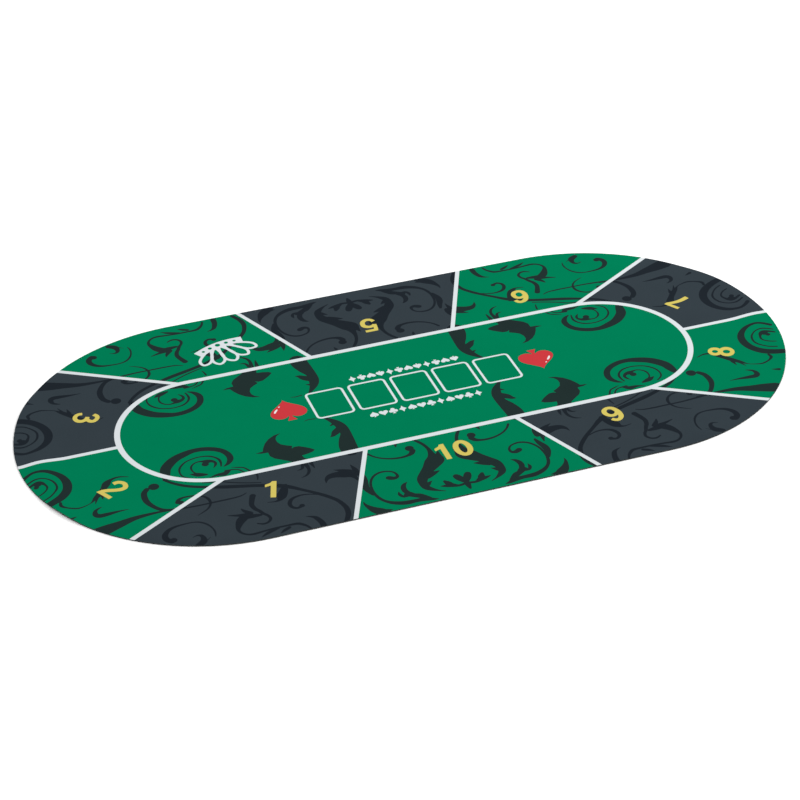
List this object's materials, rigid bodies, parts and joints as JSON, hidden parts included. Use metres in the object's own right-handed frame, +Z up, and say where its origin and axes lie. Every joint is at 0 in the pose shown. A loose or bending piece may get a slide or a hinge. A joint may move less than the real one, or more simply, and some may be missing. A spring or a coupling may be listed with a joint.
{
  "type": "folding poker table top",
  "caption": "Flexible stadium-shaped card table top: a printed cloth face bonded to a rubber base, whose ends fold in before its halves close like a book.",
  "frame": {"origin": "centre of the underside, on the table that the mat lies on", "axes": "+X along the mat's length towards seat eight, +Y towards the far long side, +Z up out of the printed face"},
  "size_m": [1.7998, 0.9, 0.003],
  "materials": {
    "rubber_base": "matte sponge rubber with a fine embossed grip pattern underneath",
    "bond_film": "thin hot-melt glue film, seen only as a hairline in the cut edge",
    "print_cloth": "smooth close-knit polyester, dyed with the seat layout"
  },
  "bodies": {
    "left_end": {"rubber_base_left_end": "rubber_base", "bond_film_left_end": "bond_film", "print_cloth_left_end": "print_cloth"},
    "left_centre": {"rubber_base_left_centre": "rubber_base", "bond_film_left_centre": "bond_film", "print_cloth_left_centre": "print_cloth"},
    "right_centre": {"rubber_base_right_centre": "rubber_base", "bond_film_right_centre": "bond_film", "print_cloth_right_centre": "print_cloth"},
    "right_end": {"rubber_base_right_end": "rubber_base", "bond_film_right_end": "bond_film", "print_cloth_right_end": "print_cloth"}
  },
  "joints": [
    {"name": "centre_fold", "type": "hinge", "parent": "left_centre", "child": "right_centre", "pos_m": [0, 0, 0.0135], "axis": [0, -1, 0], "range_deg": [0, 180]},
    {"name": "left_end_fold", "type": "hinge", "parent": "left_centre", "child": "left_end", "pos_m": [-0.451, 0, 0.0055], "axis": [0, 1, 0], "range_deg": [0, 180]},
    {"name": "right_end_fold", "type": "hinge", "parent": "right_centre", "child": "right_end", "pos_m": [0.451, 0, 0.0055], "axis": [0, -1, 0], "range_deg": [0, 180]}
  ]
}
